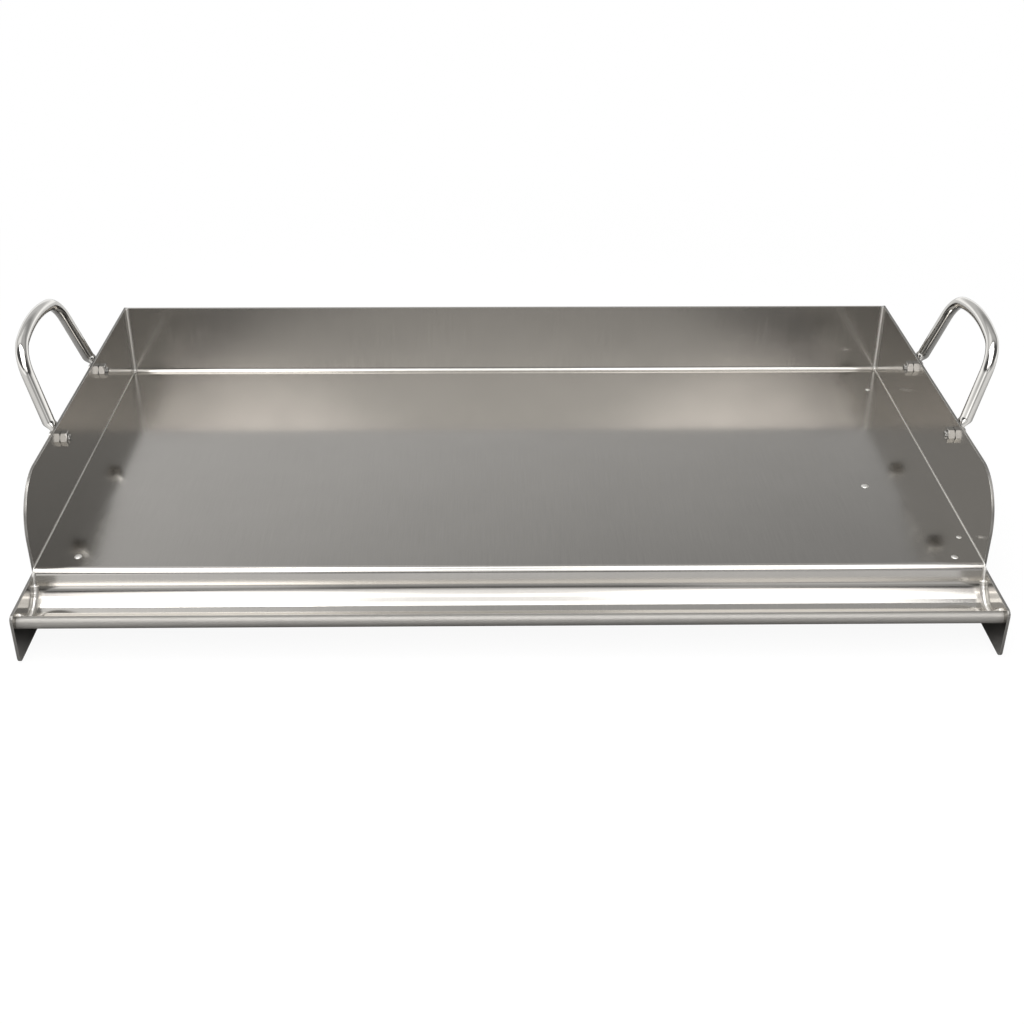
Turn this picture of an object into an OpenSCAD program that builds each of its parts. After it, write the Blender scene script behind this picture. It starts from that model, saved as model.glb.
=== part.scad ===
// Stainless grill-top griddle: folded cooking sheet with a grease trough, two side
// panels that also stand it off the grate, a cross brace and two bolt-on loop handles.
// +X is to the right, +Y to the back, and Z = 0 is the surface it stands on.

/* [Tray] */
// Width over the outer faces of the side panels
tray_width = 635; // [400:5:900]
// Depth from the front edge of the side panels to the outer face of the back wall
tray_depth = 366; // [300:2:600]
// Height of the cooking surface above the ground
plate_height = 39; // [36:0.5:60]
// Height of the back and side walls above the cooking surface
wall_height = 57; // [45:0.5:90]
// Thickness of the sheet, about 14 gauge
sheet = 2; // [1.5:0.1:3]
// Inside radius of the bends in the cooking sheet
bend_radius = 3; // [2:0.25:4]

/* [Trough] */
// Distance of the lip's front behind the front edge of the side panels
lip_setback = 4.5; // [0:0.5:8]
// Distance from the front of the lip to the front edge of the cooking surface
trough_width = 46; // [44:0.5:70]
// Depth of the trough floor below the cooking surface
trough_depth = 22.5; // [20:0.5:24]
// Angle of the trough's rear wall from vertical
rear_wall_angle = 18; // [8:1:20]
// Inside radius of the gutter between the trough's rear wall and its floor
gutter_radius = 13; // [8:0.5:14]
// Angle of the trough's front wall above horizontal
front_wall_angle = 45; // [40:1:55]
// Outer radius of the rolled lip
lip_radius = 4; // [3.5:0.25:5]
// Drop of the lip's crown below the cooking surface
lip_drop = 9; // [6:0.25:10]
// Sweep of the roll, which ends tucked under
lip_roll = 225; // [200:5:240]

/* [Side panels] */
// Radius of the large front corner at the top of each panel
panel_corner = 37; // [15:1:42]
// Distance of each panel's upright front edge behind the cooking surface's front edge
panel_setback = 3.5; // [0:0.5:10]
// Drop of the trough ends' top edge below the cooking surface
trough_end_drop = 4; // [3:0.25:6]
// Radius of the panels' small corners
small_corner = 4; // [1:0.5:5]

/* [Cross brace] */
// Thickness of the brace bars
brace_thickness = 3; // [2:0.5:5]
// Height of the brace bars, which stand on edge
brace_height = 20; // [12:1:26]
// Gap from the bars' ends to the side panels
brace_side_gap = 18; // [8:1:60]
// Gap from the bars' front ends to the front edge of the cooking surface
brace_front_gap = 14; // [10:1:60]
// Gap from the bars' rear ends to the back wall
brace_back_gap = 45; // [10:1:80]
// Clearance all round the half lap where the bars cross
lap_gap = 0.2; // [0.1:0.05:0.5]
// Radius of the bars' lower corners
brace_corner = 5; // [2:0.5:8]

/* [Handles] */
// Diameter of the handle rod
rod = 9; // [6:0.5:10]
// Distance between the two bolts of a handle
bolt_spacing = 114; // [100:1:160]
// Distance of the handles' middle behind the middle of the tray
handle_shift = 26.5; // [-20:0.5:60]
// Depth of the bolts below the top of the side panels
bolt_drop = 12; // [9:0.5:20]
// Outward lean of the loop from vertical
handle_lean = 17.5; // [10:0.5:35]
// Angle by which each leg leans toward the other
leg_angle = 10; // [5:0.5:20]
// Length of each leg from its foot bend to its corner
leg_length = 38.5; // [30:0.5:70]
// Centreline radius of the loop's two corners
loop_corner = 23.5; // [15:0.5:30]
// Turn of the arched crown from its middle to each corner
crown_bow = 13; // [5:1:25]
// Centreline radius of the bend at each foot
foot_bend = 14; // [10:1:20]
// Length of upright rod between the flat and the foot bend
stub_length = 0.5; // [0.5:0.5:10]
// Thickness of the flattened foot
foot_thickness = 3; // [2.5:0.25:5]
// Width of the flattened foot
foot_width = 13; // [12:0.5:16]
// Angle of the shoulder where the round rod meets the flat
shoulder_angle = 45; // [30:5:60]
// Extra width of the flat's neck over the rod on each side
neck_margin = 0.5; // [0.25:0.25:2]
// Gap between the round rod and the side panel above the flat
rod_gap = 0.1; // [0.05:0.05:1]
// Clearance from the bolt head's corners to the end of the flat
flat_clearance = 1; // [0.5:0.1:4]

/* [Bolts and nuts] */
// Diameter of the bolts
bolt_d = 6; // [5:0.5:6]
// Length of the bolts' ends past the nuts
bolt_end = 3; // [1:0.25:6]
// Height of the bolt heads
head_height = 3; // [2:0.25:5]
// Width of the bolt heads and nuts across flats
across_flats = 10; // [9:0.5:10]
// Thickness of the nuts
nut_thickness = 5; // [4:0.25:6]
// Diametral clearance of the bolts in the panels and handle feet
hole_clearance = 0.5; // [0.2:0.1:1]
// Diametral clearance of the bolts in the nuts
thread_clearance = 0.1; // [0.05:0.01:0.15]
// Chamfer on the bolt ends
bolt_chamfer = 0.8; // [0.4:0.1:1.2]
// Angle of the chamfer on the hexagons' corners
hex_chamfer = 30; // [15:5:45]

/* [Hidden] */
$fn = 96;

brushed = "#9b9a94";
panel_grey = "#85837d";
brace_grey = "#76746f";
polished = "#d4d4d0";
zinc = "#c2c2be";

// Main planes
outer_x = tray_width / 2;
inner_x = outer_x - sheet;
front_y = -tray_depth / 2;
back_y = tray_depth / 2;
back_face_y = back_y - sheet;
wall_top = plate_height + wall_height;
lip_front_y = front_y + lip_setback;
plate_edge_y = lip_front_y + trough_width;
under_plate = plate_height - sheet;

// Stretches of the folded sheet, measured along its cooking side
edge_turn = 90 - rear_wall_angle;
outer_bend = bend_radius + sheet;
edge_setback = outer_bend * tan(edge_turn / 2);
floor_rear_setback = gutter_radius * tan(edge_turn / 2);
floor_front_setback = bend_radius * tan(front_wall_angle / 2);
floor_rear_y = plate_edge_y - trough_depth * tan(rear_wall_angle);
front_wall_rise = trough_depth - lip_drop - lip_radius * (1 - cos(front_wall_angle));
front_wall_length = front_wall_rise / sin(front_wall_angle);
lip_start_y = lip_front_y + lip_radius * (1 + sin(front_wall_angle));
floor_front_y = lip_start_y + front_wall_length * cos(front_wall_angle);

back_wall_run = wall_height - bend_radius;
plate_run = back_face_y - bend_radius - plate_edge_y - edge_setback;
rear_wall_run = trough_depth / cos(rear_wall_angle) - edge_setback - floor_rear_setback;
floor_run = floor_rear_y - floor_front_y - floor_rear_setback - floor_front_setback;
front_wall_run = front_wall_length - floor_front_setback;

// Each fold is a straight run, then a turn to the left (metal side) or right (cooking side)
FOLDS = [
    [back_wall_run, -90, bend_radius],
    [plate_run, edge_turn, outer_bend],
    [rear_wall_run, -edge_turn, gutter_radius],
    [floor_run, -front_wall_angle, bend_radius],
    [front_wall_run, lip_roll, lip_radius]
];

// Side panels
panel_front_y = plate_edge_y + panel_setback;
trough_end_top = plate_height - trough_end_drop;

// Handles and bolts
bolt_z = wall_top - bolt_drop;
bolt_reach = bolt_spacing / 2;
rod_x = outer_x + rod / 2 + rod_gap;
neck_width = rod + 2 * neck_margin;
hex_radius = across_flats / cos(30) / 2;
leg_slope = [sin(handle_lean) * cos(leg_angle), sin(leg_angle), cos(handle_lean) * cos(leg_angle)];
foot_turn = acos(leg_slope[2]);
foot_heading = atan2(leg_slope[1], leg_slope[0]);
foot_tangent = foot_bend * tan(foot_turn / 2);
flat_length = hex_radius + flat_clearance;
foot_rise = flat_length + stub_length + foot_tangent;
foot_z = bolt_z + foot_rise;
corner_turn = 90 - leg_angle - crown_bow;
corner_y = -bolt_reach + leg_length * sin(leg_angle) + loop_corner * cos(leg_angle);
corner_rise = leg_length * cos(leg_angle) - loop_corner * sin(leg_angle);
crown_radius = loop_corner - corner_y / sin(crown_bow);
crown_centre = corner_rise - (crown_radius - loop_corner) * cos(crown_bow);
bolt_hole = bolt_d + hole_clearance;
bolt_length = foot_thickness + sheet + nut_thickness + bolt_end;

// Brace bars
brace_front_y = plate_edge_y + brace_front_gap;
brace_rear_y = back_face_y - brace_back_gap;
brace_half_span = inner_x - brace_side_gap;
brace_run_y = brace_rear_y - brace_front_y;
brace_length = norm([2 * brace_half_span, brace_run_y]);
brace_angle = atan2(brace_run_y, 2 * brace_half_span);

// What a small cut reaches past the face that it opens
past = 1;
// Bends of the sheet and the rod swell this much, and straight stretches run this far into them
bend_swell = 0.02;
bend_lap = 0.1;
// The loop's corners turn on by this angle into its crown
corner_lap = bend_lap / loop_corner * 180 / PI;

// Bend in the sheet about the origin, counter-clockwise from angle start
module sheet_bend(inner, start, sweep) {
    outer = inner + sheet + bend_swell;
    reach = 2 * outer / cos(sweep / 6);
    intersection() {
        difference() {
            circle(outer);
            circle(inner - bend_swell);
        }
        polygon([
            [0, 0],
            for (i = [0 : 3]) reach * [cos(start + i * sweep / 3), sin(start + i * sweep / 3)]
        ]);
    }
}

// Sheet profile that runs along +X with its metal on the left, fold after fold
module folded_strip(folds, i = 0) {
    if (i < len(folds)) {
        run = folds[i][0];
        turn = folds[i][1];
        radius = folds[i][2];
        side = sign(turn);
        lap = i > 0 ? bend_lap : 0;
        translate([-lap, 0]) square([run + lap + bend_lap, sheet]);
        translate([run, side * radius]) {
            if (turn > 0)
                sheet_bend(radius - sheet, -90, turn);
            else
                sheet_bend(radius, 90 + turn, -turn);
            rotate(turn)
                translate([0, -side * radius])
                    folded_strip(folds, i + 1);
        }
    }
}

// Rectangle from the origin with its own radius at each corner
module rounded_rectangle(width, height, low_left, low_right, high_right, high_left) {
    corners = [
        [[0, 0], low_left, 0], [[width, 0], low_right, 90],
        [[width, height], high_right, 180], [[0, height], high_left, 270]
    ];
    difference() {
        square([width, height]);
        for (c = corners)
            translate(c[0]) rotate(c[2]) corner_cut(c[1]);
    }
}

// What rounding takes off a corner at the origin
module corner_cut(radius) {
    if (radius > 0)
        difference() {
            translate([-past, -past]) square(radius + past);
            translate([radius, radius]) circle(radius);
        }
}

// Profile drawn with Y across and Z up, extruded along X from the given place
module along_x(start, length) {
    translate([start, 0, 0])
        rotate([90, 0, 90])
            linear_extrude(length) children();
}

// Back wall, cooking surface, grease trough and rolled lip in one folded sheet
module cooking_sheet() {
    color(brushed)
        along_x(-inner_x, 2 * inner_x)
            translate([back_face_y, wall_top]) rotate(-90)
                folded_strip(FOLDS);
}

// Outline of a side panel, with the holes for its handle
module panel_outline() {
    difference() {
        union() {
            translate([front_y, 0])
                rounded_rectangle(tray_depth, trough_end_top, small_corner, small_corner, 0, small_corner);
            translate([panel_front_y, trough_end_top - small_corner])
                rounded_rectangle(back_y - panel_front_y, wall_top - trough_end_top + small_corner,
                    0, 0, 0, panel_corner);
        }
        for (y = [-bolt_reach, bolt_reach])
            translate([handle_shift + y, bolt_z]) circle(d = bolt_hole);
    }
}

module right_side_panel() {
    color(panel_grey)
        along_x(inner_x, sheet) panel_outline();
}

module left_side_panel() {
    color(panel_grey)
        along_x(-outer_x, sheet) panel_outline();
}

// Slab along one diagonal under the cooking surface: side 1 climbs to the right, -1 to the left
module diagonal_slab(side, length, thickness, bottom, height) {
    translate([0, (brace_front_y + brace_rear_y) / 2, bottom + height / 2])
        rotate([0, 0, side * brace_angle])
            cube([length, thickness, height], center = true);
}

// Brace bar on edge with its lower corners rounded
module brace_bar(side) {
    translate([0, (brace_front_y + brace_rear_y) / 2, under_plate - brace_height])
        rotate([0, 0, side * brace_angle])
            rotate([90, 0, 0])
                translate([-brace_length / 2, 0, -brace_thickness / 2])
                    linear_extrude(brace_thickness)
                        rounded_rectangle(brace_length, brace_height, brace_corner, brace_corner, 0, 0);
}

// Room that the other bar takes at the half lap, from the given height up
module lap_slot(side, bottom) {
    diagonal_slab(side, brace_length / 4, brace_thickness + 2 * lap_gap, bottom,
        brace_height / 2 + past);
}

// Bar slotted from above
module brace_bar_lower() {
    color(brace_grey)
        difference() {
            brace_bar(1);
            lap_slot(-1, under_plate - brace_height / 2 - lap_gap / 2);
        }
}

// Bar slotted from below
module brace_bar_upper() {
    color(brace_grey)
        difference() {
            brace_bar(-1);
            lap_slot(1, under_plate - brace_height - past + lap_gap / 2);
        }
}

// Flattened foot of a handle, seated on the panel's outer face and drilled for its bolt
module handle_foot() {
    translate([outer_x, 0, bolt_z])
        rotate([90, 0, 90])
            linear_extrude(foot_thickness)
                difference() {
                    union() {
                        circle(d = foot_width);
                        translate([-neck_width / 2, 0]) square([neck_width, flat_length]);
                    }
                    circle(d = bolt_hole);
                }
}

// Straight stretch of rod along +Z that runs a little way into the bends at its ends
module rod_run(length) {
    translate([0, 0, -bend_lap])
        cylinder(d = rod, h = length + 2 * bend_lap);
}

// Bend of the rod about the Z axis, starting at +X
module rod_bend(radius, turn, swell = bend_swell) {
    rotate_extrude(angle = turn)
        translate([radius, 0]) circle(d = rod + 2 * swell);
}

// Bend of the loop in its own plane, about a point on the given height, from angle start
module loop_bend(y, rise, radius, start, turn, swell = bend_swell) {
    translate([0, y, rise])
        rotate([90, 0, 90])
            rotate([0, 0, start])
                rod_bend(radius, turn, swell);
}

// Upright end of a leg and its bend, cut down to the flat by a slanted shoulder
module foot_elbow() {
    difference() {
        translate([rod_x, 0, bolt_z + flat_length]) {
            rod_run(stub_length);
            translate([0, 0, stub_length])
                rotate([0, 0, foot_heading])
                    translate([foot_bend, 0, 0])
                        rotate([90, 0, 180])
                            rod_bend(foot_bend, foot_turn);
        }
        translate([outer_x + foot_thickness, 0, bolt_z + flat_length])
            rotate([0, -shoulder_angle, 0])
                translate([-2 * rod, -rod, -2 * rod]) cube([4 * rod, 2 * rod, 2 * rod]);
    }
}

// One leg and corner of the loop, in the loop's own leaning plane
module half_loop() {
    translate([0, -bolt_reach, 0])
        rotate([-leg_angle, 0, 0])
            translate([0, 0, foot_tangent])
                rod_run(leg_length - foot_tangent);
    loop_bend(corner_y, corner_rise, loop_corner, 90 + crown_bow - corner_lap, corner_turn + corner_lap);
}

// Round-rod loop with two flattened feet, on the right side
module loop_handle() {
    translate([0, handle_shift, 0]) {
        for (m = [0, 1])
            mirror([0, m, 0]) {
                translate([0, -bolt_reach, 0]) {
                    handle_foot();
                    foot_elbow();
                }
                translate([rod_x, 0, foot_z]) rotate([0, handle_lean, 0])
                    half_loop();
            }
        translate([rod_x, 0, foot_z]) rotate([0, handle_lean, 0])
            loop_bend(0, crown_centre, crown_radius, 90 - crown_bow, 2 * crown_bow, 2 * bend_swell);
    }
}

module right_handle() {
    color(polished) loop_handle();
}

module left_handle() {
    color(polished) mirror([1, 0, 0]) loop_handle();
}

// Hexagon along +Z whose chamfered end is the far one
module hexagon(height) {
    wide = hex_radius + past;
    intersection() {
        cylinder(r = hex_radius, h = height, $fn = 6);
        rotate_extrude()
            polygon([
                [0, 0], [wide, 0], [wide, height - (wide - across_flats / 2) * tan(hex_chamfer)],
                [across_flats / 2, height], [0, height]
            ]);
    }
}

// Bolt on the right side, its head on the handle's foot and its end inside the tray
module handle_bolt() {
    translate([outer_x + foot_thickness, 0, bolt_z]) {
        rotate([0, 90, 0]) hexagon(head_height);
        rotate([0, -90, 0]) {
            cylinder(d = bolt_d, h = bolt_length - bolt_chamfer);
            translate([0, 0, bolt_length - bolt_chamfer])
                cylinder(d1 = bolt_d, d2 = bolt_d - 2 * bolt_chamfer, h = bolt_chamfer);
        }
    }
}

// Nut on the right side, seated on the panel's inner face
module handle_nut() {
    translate([inner_x, 0, bolt_z])
        rotate([0, -90, 0])
            difference() {
                hexagon(nut_thickness);
                translate([0, 0, -past])
                    cylinder(d = bolt_d + thread_clearance, h = nut_thickness + 2 * past);
            }
}

// Places a right-side fastener: side 1 is right and -1 left, row 1 is rear and -1 front
module at_corner(side, row) {
    translate([0, handle_shift + row * bolt_reach, 0])
        mirror([side < 0 ? 1 : 0, 0, 0])
            children();
}

module left_front_bolt() { color(zinc) at_corner(-1, -1) handle_bolt(); }
module left_rear_bolt() { color(zinc) at_corner(-1, 1) handle_bolt(); }
module right_front_bolt() { color(zinc) at_corner(1, -1) handle_bolt(); }
module right_rear_bolt() { color(zinc) at_corner(1, 1) handle_bolt(); }
module left_front_nut() { color(zinc) at_corner(-1, -1) handle_nut(); }
module left_rear_nut() { color(zinc) at_corner(-1, 1) handle_nut(); }
module right_front_nut() { color(zinc) at_corner(1, -1) handle_nut(); }
module right_rear_nut() { color(zinc) at_corner(1, 1) handle_nut(); }

cooking_sheet();
left_side_panel();
right_side_panel();
brace_bar_lower();
brace_bar_upper();
left_handle();
right_handle();
left_front_bolt();
left_rear_bolt();
right_front_bolt();
right_rear_bolt();
left_front_nut();
left_rear_nut();
right_front_nut();
right_rear_nut();
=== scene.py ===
"""Looks and stage of a stainless grill-top griddle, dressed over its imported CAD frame."""

import math

import bmesh
import bpy
from bpy.props import FloatProperty, FloatVectorProperty, IntProperty, PointerProperty
from mathutils import Matrix, Vector


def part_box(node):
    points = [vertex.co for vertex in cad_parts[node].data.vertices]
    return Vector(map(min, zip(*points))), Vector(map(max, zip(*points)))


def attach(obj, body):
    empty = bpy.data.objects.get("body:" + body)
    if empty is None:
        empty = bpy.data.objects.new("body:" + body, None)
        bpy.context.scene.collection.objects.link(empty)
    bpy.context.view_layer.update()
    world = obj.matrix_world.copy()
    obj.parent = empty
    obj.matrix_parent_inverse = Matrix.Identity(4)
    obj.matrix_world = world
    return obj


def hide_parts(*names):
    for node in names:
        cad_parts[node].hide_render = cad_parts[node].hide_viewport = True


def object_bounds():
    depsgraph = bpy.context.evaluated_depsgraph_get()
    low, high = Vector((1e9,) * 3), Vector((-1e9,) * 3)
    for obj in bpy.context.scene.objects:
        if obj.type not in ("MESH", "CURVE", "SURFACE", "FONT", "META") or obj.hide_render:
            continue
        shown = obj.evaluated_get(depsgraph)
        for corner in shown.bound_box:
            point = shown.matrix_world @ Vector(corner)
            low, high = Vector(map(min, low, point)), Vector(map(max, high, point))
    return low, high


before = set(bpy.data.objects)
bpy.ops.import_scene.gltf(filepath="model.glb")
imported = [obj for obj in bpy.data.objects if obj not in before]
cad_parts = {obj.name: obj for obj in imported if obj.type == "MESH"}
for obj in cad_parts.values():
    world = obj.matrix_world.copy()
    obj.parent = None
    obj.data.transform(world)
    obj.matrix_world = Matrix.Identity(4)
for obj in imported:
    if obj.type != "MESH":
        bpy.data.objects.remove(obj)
CAD_LOW, CAD_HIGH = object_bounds()

PANEL_LOW, PANEL_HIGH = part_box("right_side_panel")
FRONT_NUT_LOW, FRONT_NUT_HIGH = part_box("right_front_nut")
REAR_NUT_LOW, REAR_NUT_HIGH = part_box("right_rear_nut")
INNER_X, OUTER_X = PANEL_LOW.x, PANEL_HIGH.x
FRONT_Y, BACK_Y = PANEL_LOW.y, PANEL_HIGH.y
WALL_TOP = PANEL_HIGH.z
BOLT_Z = (FRONT_NUT_LOW.z + FRONT_NUT_HIGH.z) / 2
BOLT_YS = (
    (FRONT_NUT_LOW.y + FRONT_NUT_HIGH.y) / 2,
    (REAR_NUT_LOW.y + REAR_NUT_HIGH.y) / 2,
)
SIDES = {"left": -1, "right": 1}
ROWS = {"front": 0, "rear": 1}

CHAMFER = math.tan(math.radians(30))  # Slope of the hexagons' chamfers
RIM = 0.0001  # From a hexagon's face to its chamfer at the flats
RELIEF = 0.0002  # Height of the finish's relief
DOWN, FORWARD = Vector((0, 0, -1)), Vector((0, 1, 0))

bl_info = {
    "name": "Grill-top griddle",
    "version": (1, 0, 0),
    "blender": (4, 5, 0),
    "location": "3D View > Sidebar > Griddle",
    "description": "Builds the looks and the stage of a stainless grill-top griddle",
    "category": "Object",
}


def length(name, description, default):
    return FloatProperty(name=name, description=description, default=default, unit="LENGTH", precision=5)


def angle(name, description, degrees):
    return FloatProperty(
        name=name, description=description, default=math.radians(degrees), subtype="ANGLE"
    )


def share(name, description, default):
    return FloatProperty(name=name, description=description, default=default, subtype="FACTOR")


def number(name, description, default):
    return FloatProperty(name=name, description=description, default=default)


def colour(name, description, default):
    return FloatVectorProperty(
        name=name, description=description, default=default, subtype="COLOR", size=3, min=0, max=1
    )


class GriddleSheet(bpy.types.PropertyGroup):
    """Sizes of the folded cooking sheet and the side panels"""

    sheet: length("Sheet", "Thickness of the sheet", 0.002)
    bend_radius: length("Bend radius", "Inside radius of the sheet's bends", 0.003)
    plate_height: length("Plate height", "Height of the cooking surface", 0.039)
    lip_setback: length("Lip setback", "Lip's front behind the panels' front edges", 0.0045)
    trough_width: length("Trough width", "From the lip's front to the plate's edge", 0.046)
    trough_depth: length("Trough depth", "Trough floor below the plate", 0.023)
    rear_wall_angle: angle("Rear wall", "Trough's rear wall from vertical", 15.5)
    gutter_radius: length("Gutter radius", "Inside radius of the trough's gutter", 0.0175)
    front_wall_angle: angle("Front wall", "Trough's front wall above level", 45)
    lip_radius: length("Lip radius", "Outer radius of the rolled lip", 0.004)
    lip_drop: length("Lip drop", "Lip's crown below the plate", 0.009)
    lip_roll: angle("Lip roll", "Sweep of the rolled lip", 225)
    panel_corner: length("Panel corner", "Large front corner of the panels", 0.037)
    panel_setback: length("Panel setback", "Panel's upright edge behind the plate's edge", 0.0035)
    trough_end_drop: length("Trough end drop", "Trough ends' top below the plate", 0.004)
    small_corner: length("Small corner", "Panels' small corners", 0.004)
    edge_round: length("Edge round", "Softening of the cut edges", 0.0003)
    arc_step: angle("Arc step", "Turn of one facet in a bend", 4)


class GriddleHandle(bpy.types.PropertyGroup):
    """Sizes of the loop handles"""

    rod: length("Rod", "Diameter of the rod", 0.009)
    rod_gap: length("Rod gap", "Gap between the rod and the panel", 0.0001)
    lean: angle("Lean", "Outward lean of the loop", 17.5)
    leg_angle: angle("Leg angle", "Lean of each leg toward the other", 10)
    leg_length: length("Leg length", "Leg from its foot bend to its corner", 0.0385)
    loop_corner: length("Loop corner", "Centreline radius of the loop's corners", 0.0235)
    crown_bow: angle("Crown bow", "Turn of the arched crown from its middle to a corner", 13)
    foot_bend: length("Foot bend", "Centreline radius of the bend at each foot", 0.014)
    stub: length("Stub", "Upright rod above the flat", 0.0005)
    foot_thickness: length("Foot thickness", "Thickness of the flattened foot", 0.003)
    foot_width: length("Foot width", "Width of the flattened foot", 0.013)
    neck_width: length("Neck width", "Width of the flat above its eye", 0.01)
    flat_clearance: length("Flat clearance", "Flat past the bolt head's corners", 0.001)
    ring_step: length("Ring step", "Distance between the rod's rings", 0.0009)


class GriddleFasteners(bpy.types.PropertyGroup):
    """Sizes of the bolts and nuts"""

    bolt: length("Bolt", "Diameter of the bolts", 0.006)
    hole: length("Hole", "Diameter of the bolt holes", 0.0065)
    bore: length("Bore", "Diameter of the nuts' bores", 0.0061)
    bolt_end: length("Bolt end", "Bolt past its nut", 0.0015)
    head_height: length("Head height", "Height of the bolt heads", 0.003)
    across_flats: length("Across flats", "Width of the hexagons", 0.01)
    nut_thickness: length("Nut thickness", "Thickness of the nuts", 0.005)
    pitch: length("Pitch", "Pitch of the thread", 0.001)
    thread_depth: length("Thread depth", "Depth of the thread", 0.0003)
    end_chamfer: length("End chamfer", "Chamfer on the bolt ends", 0.0008)


class GriddleWelds(bpy.types.PropertyGroup):
    """Sizes of the weld seams and tacks"""

    corner_bead: length("Corner bead", "Radius of the bead in the back corners", 0.0016)
    side_bead: length("Side bead", "Radius of the bead along the plate's sides", 0.0005)
    wall_bead: length("Wall bead", "Radius of the bead at the ends of the trough's walls", 0.0012)
    trough_bead: length("Trough bead", "Radius of the bead at the ends of the trough's gutter", 0.002)
    ripple: share("Ripple", "How much the bead's ripples swell", 0.07)
    ripple_length: length("Ripple length", "Length of one ripple", 0.0016)
    bead_step: length("Bead step", "Distance between the bead's rings", 0.0007)
    tack: length("Tack", "Radius of a brace tack", 0.0022)
    mark: length("Mark", "Radius of a tack's mark on the plate", 0.0023)
    seed: IntProperty(name="Seed", description="Seed of the uneven welds", default=7)


class GriddleFinish(bpy.types.PropertyGroup):
    """Colours and gloss of the metals"""

    sheet_colour: colour("Sheet", "Brushed cooking sheet", (0.452, 0.437, 0.413))
    panel_colour: colour("Panels", "Brushed side panels", (0.452, 0.437, 0.413))
    brace_colour: colour("Brace", "Brace bars", (0.38, 0.368, 0.345))
    rod_colour: colour("Rod", "Polished handle rod", (0.6, 0.588, 0.562))
    fastener_colour: colour("Fasteners", "Bolts and nuts", (0.44, 0.43, 0.41))
    weld_colour: colour("Welds", "Weld metal", (0.8, 0.785, 0.755))
    sheet_roughness: share("Sheet roughness", "Roughness of the brushed sheet", 0.14)
    panel_roughness: share("Panel roughness", "Roughness of the brushed panels", 0.15)
    lip_roughness: share("Lip roughness", "Roughness that rolling adds to the lip", 0.46)
    # Painted shade: the lip's colour is made darker than the sheet's so the rolled lip looks dimmer
    lip_painted_shade: share("Lip shade", "How dark rolling leaves the lip beside the sheet", 0.92)
    brushing: share("Brushing", "How far reflections spread across the grain", 0.6)
    rod_roughness: share("Rod roughness", "Roughness of the polished rod", 0.04)
    # Painted shade: the panels' cut edges are darkened so they catch less light than their faces
    cut_painted_shade: share("Cut shade", "How dark the panels' cut edges are beside their faces", 0.55)
    cut_roughness: share("Cut roughness", "Roughness that cutting adds to the panels' edges", 0.25)


class GriddleStage(bpy.types.PropertyGroup):
    """Floor, lamps and camera"""

    # Painted shadow: the floor's colour darkens close to the griddle where metal mirrors it
    floor_painted_shadow: share("Floor near", "Shade of the floor close to the griddle, as metal mirrors it", 0.28)
    floor_far: share("Floor far", "Shade of the floor away from the griddle, as metal mirrors it", 0.75)
    floor_glow: share("Floor glow", "Light of the white ground that shadows can't take", 0.93)
    back_level: share("Back", "Brightness of the backdrop behind the griddle", 0.67)
    back_height: share("Back height", "Height of view at which the backdrop has that brightness", 0.465)
    side_fall: share("Side fall", "How much darker the backdrop gets to the right", 0.58)
    height_fall: share("Height fall", "How much darker the backdrop gets upwards", 2.2)
    back_top: share("Back top", "Brightness of the backdrop high up", 0.62)
    front_middle: share("Front middle", "Brightness of the room behind the camera", 0.16)
    front_level: share("Front", "Brightness of the room beside the camera", 0.1)
    front_horizon: share("Front horizon", "Brightness of the room low down in front", 0.55)
    low_level: share("Low surround", "Brightness of the white surround low down", 1.5)
    overhead: number("Overhead", "Brightness of the overhead softbox", 2.6)
    overhead_left: number("Overhead left", "Brightness that the overhead softbox gains to the left", 4.5)
    bridge: number("Bridge", "Brightness of the softbox above the camera", 1.6)
    wings: number("Wings", "Brightness of the softboxes beside that one", 3.2)
    middle_box: number("Middle box", "Brightness of the round softbox behind the camera", 0.75)
    upper_box: number("Upper box", "Brightness that the round softbox gains above its lower edge", 0.4)
    side_boxes: number("Side boxes", "Brightness of the round softboxes beside the camera", 1.15)
    low_boxes: number("Low boxes", "Brightness of the low softboxes beside the camera", 0.5)
    box_tint: colour("Box tint", "Colour of the softboxes beside the camera", (1.0, 0.96, 0.95))
    lens: number("Lens", "Focal length in millimetres", 49.92)
    camera_place: FloatVectorProperty(
        name="Camera", description="Place of the camera", size=3, subtype="TRANSLATION",
        unit="LENGTH", default=(-0.0130, -0.9265, 0.5436),
    )
    yaw: angle("Yaw", "Camera turned to the right", 0.956)
    pitch: angle("Pitch", "Camera tilted down", 30.198)
    roll: angle("Roll", "Camera rolled", 0.214)


class GriddleSettings(bpy.types.PropertyGroup):
    """All settings of the griddle"""

    sheet: PointerProperty(type=GriddleSheet)
    handle: PointerProperty(type=GriddleHandle)
    fasteners: PointerProperty(type=GriddleFasteners)
    welds: PointerProperty(type=GriddleWelds)
    finish: PointerProperty(type=GriddleFinish)
    stage: PointerProperty(type=GriddleStage)


# Meshes and pieces


def add(name, data):
    """New object in the scene."""
    obj = bpy.data.objects.new(name, data)
    bpy.context.scene.collection.objects.link(obj)
    return obj


def bmesh_from(mesh):
    bm = bmesh.new()
    bm.from_mesh(mesh)
    return bm


def mesh_of(bm, name, sharp_angle=35.0):
    """Finished mesh of a bmesh: closed, facing outwards, smooth but for its sharp edges."""
    bmesh.ops.remove_doubles(bm, verts=bm.verts, dist=1e-7)
    bmesh.ops.recalc_face_normals(bm, faces=bm.faces)
    for face in bm.faces:
        face.smooth = True
    mesh = bpy.data.meshes.new(name)
    bm.to_mesh(mesh)
    bm.free()
    mesh.set_sharp_from_angle(angle=math.radians(sharp_angle))
    return mesh


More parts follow.
